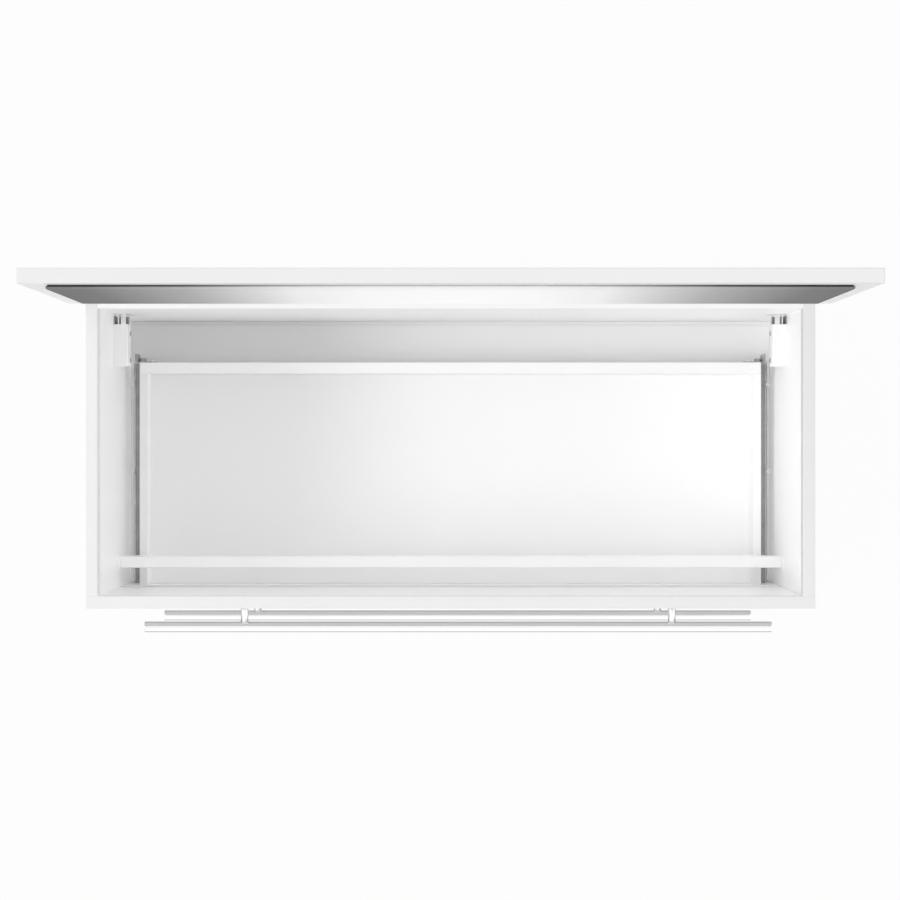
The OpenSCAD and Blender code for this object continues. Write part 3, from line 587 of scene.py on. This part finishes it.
def turned(shape, profile, origin, axis, steps):
    """Adds a closed turned shape. The profile lists (distance along the axis, radius)."""
    turn = Vector((0, 0, 1)).rotation_difference(Vector(axis)).to_matrix().to_4x4()
    place = Matrix.Translation(origin) @ turn
    rings = []
    for along, radius in profile:
        if radius == 0:
            rings.append([shape.verts.new(place @ Vector((0, 0, along)))])
            continue
        ring = []
        for i in range(steps):
            angle = 2 * math.pi * i / steps
            point = Vector((radius * math.cos(angle), radius * math.sin(angle), along))
            ring.append(shape.verts.new(place @ point))
        rings.append(ring)
    for lower, upper in zip(rings, rings[1:]):
        for i in range(steps):
            j = (i + 1) % steps
            corners = [lower[i % len(lower)], lower[j % len(lower)],
                       upper[j % len(upper)], upper[i % len(upper)]]
            unique = list(dict.fromkeys(corners))
            if len(unique) > 2:
                shape.faces.new(unique).smooth = len(lower) > 1 and len(upper) > 1


def loose_parts(node):
    """The lowest and highest corner of each solid of a node."""
    shape = bmesh.new()
    shape.from_mesh(nodes[node].data)
    bmesh.ops.remove_doubles(shape, verts=shape.verts, dist=WELD)
    seen = set()
    boxes = []
    for first in shape.verts:
        if first in seen:
            continue
        seen.add(first)
        waiting = [first]
        low, high = first.co.copy(), first.co.copy()
        while waiting:
            vert = waiting.pop()
            low = Vector(map(min, low, vert.co))
            high = Vector(map(max, high, vert.co))
            for edge in vert.link_edges:
                other = edge.other_vert(vert)
                if other not in seen:
                    seen.add(other)
                    waiting.append(other)
        boxes.append((low, high))
    shape.free()
    return boxes


# Boards of the cabinet and the drawer

def make_boards():
    for node in ("back_rail", "back_panel", "drawer_floor"):
        soften(node, BOARD_ROUND)
    for node in ("front_stretcher", "drawer_back"):
        soften(node, BOARD_ROUND, "gloss_lacquer")
    soften("side_panel_left", BOARD_ROUND, inwards=(1, 0, 0))
    soften("side_panel_right", BOARD_ROUND, inwards=(-1, 0, 0))
    soften("upper_front", FRONT_ROUND, inwards=(0, 1, 0))
    soften("lower_front", FRONT_ROUND, inwards=(0, 1, 0))
    soften("mirror_board", FRONT_ROUND, inwards=(0, -1, 0))
    soften("bottom_panel", BOARD_ROUND, "base_lacquer")


# Handles

BAR_END_ROUND = 0.9 * MM
BAR_END_STEPS = 4
BAR_SIDES = 96
POST_CHAMFER = 0.35 * MM
POST_SIDES = 64


def brushed(node, shape, finish):
    finish_piece(node + "_brushed", shape, finish, body_of_node(node), (node,))


def rounded_end(radius, rounding):
    """Points of a turned end from its middle out to its full radius."""
    points = [(0.0, 0.0)]
    for i in range(BAR_END_STEPS + 1):
        angle = math.pi / 2 * i / BAR_END_STEPS
        points.append((rounding * (1 - math.cos(angle)), radius - rounding * (1 - math.sin(angle))))
    return points


def make_bar(node):
    """A bar from side to side, with rounded ends."""
    low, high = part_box(node)
    middle = (low + high) / 2
    length = high.x - low.x
    start = rounded_end((high.y - low.y) / 2, BAR_END_ROUND)
    end = [(length - along, radius) for along, radius in reversed(start)]
    shape = bmesh.new()
    turned(shape, start + end, (low.x, middle.y, middle.z), (1, 0, 0), BAR_SIDES)
    brushed(node, shape, "brushed_bar")


def make_posts(node):
    """Posts that start at the front and carry the bar, with a chamfer where they meet the front."""
    shape = bmesh.new()
    for low, high in loose_parts(node):
        radius = (high.x - low.x) / 2
        middle = (low + high) / 2
        length = high.y - low.y
        profile = [(0, 0), (0, radius - POST_CHAMFER), (POST_CHAMFER, radius),
                   (length, radius), (length, 0)]
        turned(shape, profile, (middle.x, high.y, middle.z), (0, -1, 0), POST_SIDES)
    brushed(node, shape, "brushed_post")


def make_handles():
    for level in ("upper", "lower"):
        make_bar(level + "_bar")
        make_posts(level + "_posts")


# Mirror

GLASS_CORNER = 2.5 * MM
GROUND_EDGE = 1.2 * MM
CORNER_STEPS = 5

# Places of the rim and the painted back among the finishes of the mirror
RIM_PLACE = 1
BACKING_PLACE = 2


def outline(low, high, corner, inset):
    """Points round an upright rounded rectangle, moved inwards by inset."""
    points = []
    corners = ((high.x, high.z, 0), (low.x, high.z, 1), (low.x, low.z, 2), (high.x, low.z, 3))
    reach = corner - inset
    for x, z, quarter in corners:
        centre_x = x - math.copysign(corner, x - (low.x + high.x) / 2)
        centre_z = z - math.copysign(corner, z - (low.z + high.z) / 2)
        for i in range(CORNER_STEPS + 1):
            angle = math.pi / 2 * (quarter + i / CORNER_STEPS)
            points.append((centre_x + reach * math.cos(angle), centre_z + reach * math.sin(angle)))
    return points


def make_glass():
    """The mirror, with a ground edge at its front and its back and a painted back."""
    low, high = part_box("mirror_glass")
    levels = ((low.y, GROUND_EDGE), (low.y + GROUND_EDGE, 0),
              (high.y - GROUND_EDGE, 0), (high.y, GROUND_EDGE))
    shape = bmesh.new()
    rings = []
    for y, inset in levels:
        points = outline(low, high, GLASS_CORNER, inset)
        rings.append([shape.verts.new((x, y, z)) for x, z in points])
    count = len(rings[0])
    shape.faces.new(rings[0])
    shape.faces.new(list(reversed(rings[-1]))).material_index = BACKING_PLACE
    for lower, upper, place in zip(rings, rings[1:], (RIM_PLACE, RIM_PLACE, BACKING_PLACE)):
        for i in range(count):
            j = (i + 1) % count
            shape.faces.new((lower[i], upper[i], upper[j], lower[j])).material_index = place
    finish_piece("mirror_glass_ground", shape, "mirror", "cabinet", ("mirror_glass",),
                 ("mirror_rim", "mirror_backing"))


# Thin strips along the top edges of boards. A bead's size is its depth and height.

BEAD_CORNER = 0.3 * MM
BEAD_PLAY = 2.0 * MM
FRONT_BEAD = (1.8 * MM, 3.0 * MM)
FRONT_BEAD_DROP = 0.3 * MM
# Strips that paint a dark shade line along the cabinet's inner rim
RIM_SHADE_BEAD = (2.6 * MM, 2.0 * MM)
FRONT_SHADE_BEAD = (0.7 * MM, 2.0 * MM)
SHADE_BEAD_DROP = 0.6 * MM
EDGE_TAPE_HEIGHT = 4.0 * MM
EDGE_TAPE_DROP = 0.6 * MM
EDGE_TAPE_PLAY = 0.05 * MM


def add_bead(shape, start, end, outwards, size):
    """A strip under a line from start to end, with its two outer corners cut."""
    depth, height = size
    profile = ((0, -height), (depth - BEAD_CORNER, -height), (depth, BEAD_CORNER - height),
               (depth, -BEAD_CORNER), (depth - BEAD_CORNER, 0), (0, 0))
    ends = []
    for place in (start, end):
        ring = []
        for out, up in profile:
            ring.append(shape.verts.new(place + Vector(outwards) * out + Vector((0, 0, up))))
        ends.append(ring)
    shape.faces.new(ends[0])
    shape.faces.new(ends[1])
    for i in range(len(profile)):
        j = (i + 1) % len(profile)
        shape.faces.new((ends[0][i], ends[0][j], ends[1][j], ends[1][i]))


def add_cross_bead(shape, reach, y, top, size):
    """A bead behind a front, from side to side."""
    add_bead(shape, Vector((-reach, y, top)), Vector((reach, y, top)), (0, 1, 0), size)


def make_beads():
    """A bead that closes the joint between the fronts, and a grey strip along the cabinet's inner
    rim that paints a dark shade line there.
    """
    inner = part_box("side_panel_right")[0].x
    reach = inner - BEAD_PLAY
    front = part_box("lower_front")[1]
    shape = bmesh.new()
    add_cross_bead(shape, reach, front.y, front.z - FRONT_BEAD_DROP, FRONT_BEAD)
    finish_piece("front_bead", shape, "white_plastic", body_of_node("lower_front"))
    shape = bmesh.new()
    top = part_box("upper_front")[1].z - SHADE_BEAD_DROP
    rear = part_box("back_rail")[0].y
    add_cross_bead(shape, reach, front.y, top, FRONT_SHADE_BEAD)
    for side in (-1, 1):
        start = Vector((side * inner, front.y + BEAD_PLAY, top))
        end = Vector((side * inner, rear, top))
        add_bead(shape, start, end, (-side, 0, 0), RIM_SHADE_BEAD)
    finish_piece("rim_shade_strip", shape, "rim_shade_line", "cabinet")


def make_edge_tape():
    """The tape that closes the top of the gap between the mirror and its board. Its dark colour is
    a painted shadow in that gap.
    """
    low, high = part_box("mirror_glass")
    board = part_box("mirror_board")[0].y
    top = high.z - EDGE_TAPE_DROP
    start = Vector((low.x + GLASS_CORNER, board, top))
    end = Vector((high.x - GLASS_CORNER, board, top))
    depth = board - high.y - EDGE_TAPE_PLAY
    shape = bmesh.new()
    add_bead(shape, start, end, (0, -1, 0), (depth, EDGE_TAPE_HEIGHT))
    finish_piece("mirror_edge_tape", shape, "mirror_tape", "cabinet")


# Sheet steel and moulded fittings

def make_fittings():
    for side in SIDES:
        soften("drawer_side_" + side, FOLD_ROUND)
        soften("suspension_cover_" + side, MOULDED_ROUND, "gloss_lacquer")
        soften("hook_" + side, PRESSED_ROUND, shortest=HOOK_EDGE)
    soften("drawer_clips", PRESSED_ROUND, "dark_zinc", shortest=CLIP_EDGE)


# What repeats, made by Geometry Nodes

def geometry_tree(name, inputs):
    """A geometry tree with named inputs. Returns it, its input node and its output node."""
    tree = bpy.data.node_groups.new(name, "GeometryNodeTree")
    tree.interface.new_socket("Geometry", in_out="INPUT", socket_type="NodeSocketGeometry")
    for label, kind in inputs:
        tree.interface.new_socket(label, in_out="INPUT", socket_type=kind)
    tree.interface.new_socket("Geometry", in_out="OUTPUT", socket_type="NodeSocketGeometry")
    return tree, tree.nodes.new("NodeGroupInput"), tree.nodes.new("NodeGroupOutput")


def end_tree(tree, start, end, geometry):
    """Realize Instances and Set Material close every tree."""
    real = tree.nodes.new("GeometryNodeRealizeInstances")
    paint = tree.nodes.new("GeometryNodeSetMaterial")
    tree.links.new(geometry, real.inputs["Geometry"])
    tree.links.new(real.outputs["Geometry"], paint.inputs["Geometry"])
    tree.links.new(start.outputs["Finish"], paint.inputs["Material"])
    tree.links.new(paint.outputs["Geometry"], end.inputs["Geometry"])


def place_on_points(tree, start, shape):
    """Instances a shape that points along Z on each point, turned to the point's aim."""
    aim = tree.nodes.new("GeometryNodeInputNamedAttribute")
    aim.data_type = "FLOAT_VECTOR"
    aim.inputs["Name"].default_value = "aim"
    turn = tree.nodes.new("FunctionNodeAlignRotationToVector")
    turn.axis = "Z"
    tree.links.new(aim.outputs["Attribute"], turn.inputs["Vector"])
    instances = tree.nodes.new("GeometryNodeInstanceOnPoints")
    tree.links.new(start.outputs["Geometry"], instances.inputs["Points"])
    tree.links.new(shape, instances.inputs["Instance"])
    tree.links.new(turn.outputs["Rotation"], instances.inputs["Rotation"])
    return instances.outputs["Instances"]


def less(tree, whole, part):
    """The first value less the second."""
    node = tree.nodes.new("ShaderNodeMath")
    node.operation = "SUBTRACT"
    tree.links.new(whole, node.inputs[0])
    tree.links.new(part, node.inputs[1])
    return node.outputs["Value"]


def dowel_tree():
    """Fluted dowels: a star section drawn out along a line."""
    tree, start, end = geometry_tree("Fluted dowels", [
        ("Radius", "NodeSocketFloat"), ("Groove", "NodeSocketFloat"), ("Length", "NodeSocketFloat"),
        ("Flutes", "NodeSocketInt"), ("Finish", "NodeSocketMaterial")])
    star = tree.nodes.new("GeometryNodeCurveStar")
    inner = less(tree, start.outputs["Radius"], start.outputs["Groove"])
    tree.links.new(start.outputs["Flutes"], star.inputs["Points"])
    tree.links.new(start.outputs["Radius"], star.inputs["Outer Radius"])
    tree.links.new(inner, star.inputs["Inner Radius"])
    line = tree.nodes.new("GeometryNodeCurvePrimitiveLine")
    line.mode = "DIRECTION"
    line.inputs["Direction"].default_value = (0, 0, 1)
    tree.links.new(start.outputs["Length"], line.inputs["Length"])
    body = tree.nodes.new("GeometryNodeCurveToMesh")
    body.inputs["Fill Caps"].default_value = True
    tree.links.new(line.outputs["Curve"], body.inputs["Curve"])
    tree.links.new(star.outputs["Curve"], body.inputs["Profile Curve"])
    end_tree(tree, start, end, place_on_points(tree, start, body.outputs["Mesh"]))
    return tree


def step_of_disc(tree, start, top, height):
    """A turned step that goes from the disc's own radius to the radius at its top."""
    cone = tree.nodes.new("GeometryNodeMeshCone")
    tree.links.new(start.outputs["Sides"], cone.inputs["Vertices"])
    tree.links.new(top, cone.inputs["Radius Top"])
    tree.links.new(start.outputs["Radius"], cone.inputs["Radius Bottom"])
    tree.links.new(height, cone.inputs["Depth"])
    return cone.outputs["Mesh"]


def disc_tree():
    """Caps and rollers: a straight wall with a bevelled rim on top."""
    tree, start, end = geometry_tree("Stepped discs", [
        ("Radius", "NodeSocketFloat"), ("Height", "NodeSocketFloat"), ("Rim", "NodeSocketFloat"),
        ("Sides", "NodeSocketInt"), ("Finish", "NodeSocketMaterial")])
    top = less(tree, start.outputs["Radius"], start.outputs["Rim"])
    straight = less(tree, start.outputs["Height"], start.outputs["Rim"])
    rim = step_of_disc(tree, start, top, start.outputs["Rim"])
    wall = step_of_disc(tree, start, start.outputs["Radius"], straight)
    lift = tree.nodes.new("GeometryNodeTransform")
    rise = tree.nodes.new("ShaderNodeCombineXYZ")
    tree.links.new(straight, rise.inputs["Z"])
    tree.links.new(rise.outputs["Vector"], lift.inputs["Translation"])
    tree.links.new(rim, lift.inputs["Geometry"])
    join = tree.nodes.new("GeometryNodeJoinGeometry")
    tree.links.new(lift.outputs["Geometry"], join.inputs["Geometry"])
    tree.links.new(wall, join.inputs["Geometry"])
    end_tree(tree, start, end, place_on_points(tree, start, join.outputs["Geometry"]))
    return tree


def points_with_aim(places):
    """A mesh of single points, each with the direction that its piece points in."""
    mesh = bpy.data.meshes.new("places")
    mesh.from_pydata([place for place, aim in places], [], [])
    aims = mesh.attributes.new("aim", "FLOAT_VECTOR", "POINT")
    for item, (place, aim) in zip(aims.data, places):
        item.vector = aim
    return mesh


def grown(name, tree, places, finish, body, slot, replaced=(), **settings):
    """Runs a tree over the places and keeps the result as a plain mesh."""
    carrier = bpy.data.objects.new(name + "_places", points_with_aim(places))
    bpy.context.scene.collection.objects.link(carrier)
    modifier = carrier.modifiers.new("pieces", "NODES")
    modifier.node_group = tree
    settings["Finish"] = FINISHES[finish]
    for item in tree.interface.items_tree:
        if item.item_type == "SOCKET" and item.in_out == "INPUT" and item.name in settings:
            modifier[item.identifier] = settings[item.name]
    graph = bpy.context.evaluated_depsgraph_get()
    mesh = bpy.data.meshes.new_from_object(carrier.evaluated_get(graph))
    carrier.modifiers.remove(modifier)
    bpy.data.objects.remove(carrier)
    shape = bmesh.new()
    shape.from_mesh(mesh)
    bpy.data.meshes.remove(mesh)
    bmesh.ops.remove_doubles(shape, verts=shape.verts, dist=WELD)
    finish_piece(name, shape, finish, body, replaced)


DOWEL_FLUTES = 18
DOWEL_GROOVE = 0.35 * MM


def make_dowels(tree):
    """Fluted dowels in the places of the plain ones, which are all of one size."""
    places = []
    for low, high in loose_parts("dowels"):
        size = high - low
        axis = max(range(3), key=lambda i: size[i])
        foot = (low + high) / 2
        foot[axis] = low[axis]
        aim = Vector((0, 0, 0))
        aim[axis] = 1
        places.append((foot, aim))
    grown("dowels_fluted", tree, places, "beech", "cabinet", "beech", ("dowels",),
          Radius=min(size) / 2, Groove=DOWEL_GROOVE, Length=max(size), Flutes=DOWEL_FLUTES)


CAP_RADIUS = 8.6 * MM
CAP_HEIGHT = 0.9 * MM
CAP_RIM = 0.4 * MM
CAP_SIDES = 40


def make_cam_caps(tree):
    """White caps over the cam fittings that face the inside of the cabinet or its back."""
    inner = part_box("side_panel_right")[0].x
    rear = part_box("front_stretcher")[1].y
    rail_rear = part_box("back_rail")[1].y
    places = []
    for low, high in loose_parts("cam_discs"):
        middle = (low + high) / 2
        if abs(min(abs(low.x), abs(high.x)) - inner) < WELD:
            side = math.copysign(1, middle.x)
            places.append((Vector((side * inner, middle.y, middle.z)), Vector((-side, 0, 0))))
        for face in (rear, rail_rear):
            if abs(high.y - face) < WELD:
                places.append((Vector((middle.x, face, middle.z)), Vector((0, 1, 0))))
    grown("cam_caps", tree, places, "white_plastic", "cabinet", "white_plastic",
          Radius=CAP_RADIUS, Height=CAP_HEIGHT, Rim=CAP_RIM, Sides=CAP_SIDES)


ROLLER_PITCH = 24 * MM
ROLLER_END = 16 * MM
ROLLER_PLAY = 0.1 * MM
ROLLER_SIDE_PLAY = 4.5 * MM
ROLLER_RIM = 0.8 * MM
ROLLER_SIDES = 28
MIDDLE_SHEET = 1.2 * MM
DRAWER_MEMBER_SHEET = 1.5 * MM


def make_rollers(tree):
    """Nylon rollers between the middle member of each runner and the drawer's member above it."""
    for side in SIDES:
        member = "runner_middle_" + side
        low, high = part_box(member)
        foot = low.z + MIDDLE_SHEET
        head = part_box("runner_drawer_" + side)[1].z - DRAWER_MEMBER_SHEET
        radius = (head - foot) / 2 - ROLLER_PLAY
        length = high.x - low.x - 2 * ROLLER_SIDE_PLAY
        first = Vector((low.x + ROLLER_SIDE_PLAY, low.y + ROLLER_END, foot + ROLLER_PLAY + radius))
        count = int((high.y - low.y - 2 * ROLLER_END) / ROLLER_PITCH) + 1
        step = Vector((0, ROLLER_PITCH, 0))
        places = [(first + i * step, Vector((1, 0, 0))) for i in range(count)]
        grown("runner_rollers_" + side, tree, places, "nylon", member, "white_plastic",
              Radius=radius, Height=length, Rim=ROLLER_RIM, Sides=ROLLER_SIDES)


# Stage, light and camera

FLOOR_SIZE = 14.0
FLOOR_GAP = 0.3 * MM
FLOOR_TONE = grey(0.50)
FLOOR_ROUGHNESS = 0.9
FLOOR_GLOW = 0.965

# Level of the sky, and how bright it is where it is seen
WORLD_LEVEL = 0.36
WORLD_SEEN = 1.0

# Light that the left and the rear of the sky add: axis, direction and strength.
# It grows from the horizon up to the height WORLD_RISE, as a share of straight up.
WORLD_SIDES = (("X", -1.0, 1.93), ("Y", 1.0, 0.30))
WORLD_RISE = 0.6

# Each lamp's name, energy, width, elevation and azimuth in degrees, and whether it casts shadows
LAMPS = (
    ("key", 0.63, 19.0, 48.0, 12.0, True),
    ("right_fill", 0.98, 70.0, 20.0, 180.0, False),
    ("front_fill", 0.30, 70.0, 10.0, 90.0, False),
)
LIGHT_BOUNCES = 24


def seen_directly(tree):
    """1 where the camera, a reflection or clear glass sees this, otherwise 0."""
    path = tree.nodes.new("ShaderNodeLightPath")
    seen = path.outputs["Is Camera Ray"]
    for ray in ("Is Glossy Ray", "Is Transmission Ray"):
        either = tree.nodes.new("ShaderNodeMath")
        either.operation = "MAXIMUM"
        tree.links.new(seen, either.inputs[0])
        tree.links.new(path.outputs[ray], either.inputs[1])
        seen = either.outputs["Value"]
    return seen


def make_floor():
    """A pale floor just under the object, that glows white where it is seen."""
    material = bpy.data.materials.new("pale_floor")
    material.use_nodes = True
    tree = material.node_tree
    shader = tree.nodes["Principled BSDF"]
    shader.inputs["Base Color"].default_value = FLOOR_TONE
    shader.inputs["Roughness"].default_value = FLOOR_ROUGHNESS
    glow = tree.nodes.new("ShaderNodeEmission")
    mix = tree.nodes.new("ShaderNodeMixShader")
    amount = tree.nodes.new("ShaderNodeMath")
    amount.operation = "MULTIPLY"
    amount.inputs[1].default_value = FLOOR_GLOW
    tree.links.new(seen_directly(tree), amount.inputs[0])
    tree.links.new(amount.outputs["Value"], mix.inputs["Fac"])
    tree.links.new(shader.outputs["BSDF"], mix.inputs[1])
    tree.links.new(glow.outputs["Emission"], mix.inputs[2])
    tree.links.new(mix.outputs["Shader"], tree.nodes["Material Output"].inputs["Surface"])
    mesh = bpy.data.meshes.new("floor")
    half = FLOOR_SIZE / 2
    level = cad_box[0].z - FLOOR_GAP
    corners = [(x * half, y * half, level) for x, y in ((-1, -1), (1, -1), (1, 1), (-1, 1))]
    mesh.from_pydata(corners, [], [(0, 1, 2, 3)])
    mesh.materials.append(material)
    floor = bpy.data.objects.new("floor", mesh)
    bpy.context.scene.collection.objects.link(floor)


def make_world():
    """White where it is seen, and a soft sky that is lighter at its left and its rear."""
    world = bpy.data.worlds.new("studio")
    bpy.context.scene.world = world
    world.use_nodes = True
    tree = world.node_tree
    background = tree.nodes["Background"]
    background.inputs["Color"].default_value = (1, 1, 1, 1)
    place = tree.nodes.new("ShaderNodeTexCoord")
    parts = tree.nodes.new("ShaderNodeSeparateXYZ")
    tree.links.new(place.outputs["Generated"], parts.inputs["Vector"])
    rise = spread(tree, parts.outputs["Z"], 0.0, WORLD_RISE)
    level = tree.nodes.new("ShaderNodeValue").outputs["Value"]
    level.default_value = WORLD_LEVEL
    for axis, direction, strength in WORLD_SIDES:
        lobe = spread(tree, parts.outputs[axis], 0.0, direction, new_high=strength)
        total = tree.nodes.new("ShaderNodeMath")
        total.operation = "MULTIPLY_ADD"
        tree.links.new(lobe, total.inputs[0])
        tree.links.new(rise, total.inputs[1])
        tree.links.new(level, total.inputs[2])
        level = total.outputs["Value"]
    mix = tree.nodes.new("ShaderNodeMix")
    tree.links.new(seen_directly(tree), mix.inputs["Factor"])
    tree.links.new(level, mix.inputs["A"])
    mix.inputs["B"].default_value = WORLD_SEEN
    tree.links.new(mix.outputs["Result"], background.inputs["Strength"])


def make_lamp(name, energy, width, elevation, azimuth, shadow):
    """A broad soft lamp far away. Azimuth 0 is the left, and 90 the front."""
    lamp = bpy.data.lights.new(name, "SUN")
    lamp.use_shadow = shadow
    lamp.energy = energy
    lamp.angle = math.radians(width)
    holder = bpy.data.objects.new(name, lamp)
    bpy.context.scene.collection.objects.link(holder)
    up, turn = math.radians(elevation), math.radians(azimuth)
    towards = Vector((-math.cos(up) * math.cos(turn), -math.cos(up) * math.sin(turn), math.sin(up)))
    holder.rotation_euler = towards.to_track_quat("Z", "Y").to_euler()


def make_camera():
    camera = bpy.data.objects.new("camera", bpy.data.cameras.new("camera"))
    camera.data.lens = CAMERA_LENS
    camera.data.clip_end = CAMERA_REACH
    camera.location = CAMERA_PLACE
    bpy.context.scene.collection.objects.link(camera)
    bpy.context.scene.camera = camera
    bpy.context.scene.view_settings.view_transform = "Standard"


make_camera()
make_world()
for lamp_values in LAMPS:
    make_lamp(*lamp_values)
bpy.context.scene.cycles.diffuse_bounces = LIGHT_BOUNCES
make_floor()
dress_nodes()
make_boards()
make_handles()
make_glass()
make_beads()
make_edge_tape()
make_fittings()
make_dowels(dowel_tree())
discs = disc_tree()
make_cam_caps(discs)
make_rollers(discs)
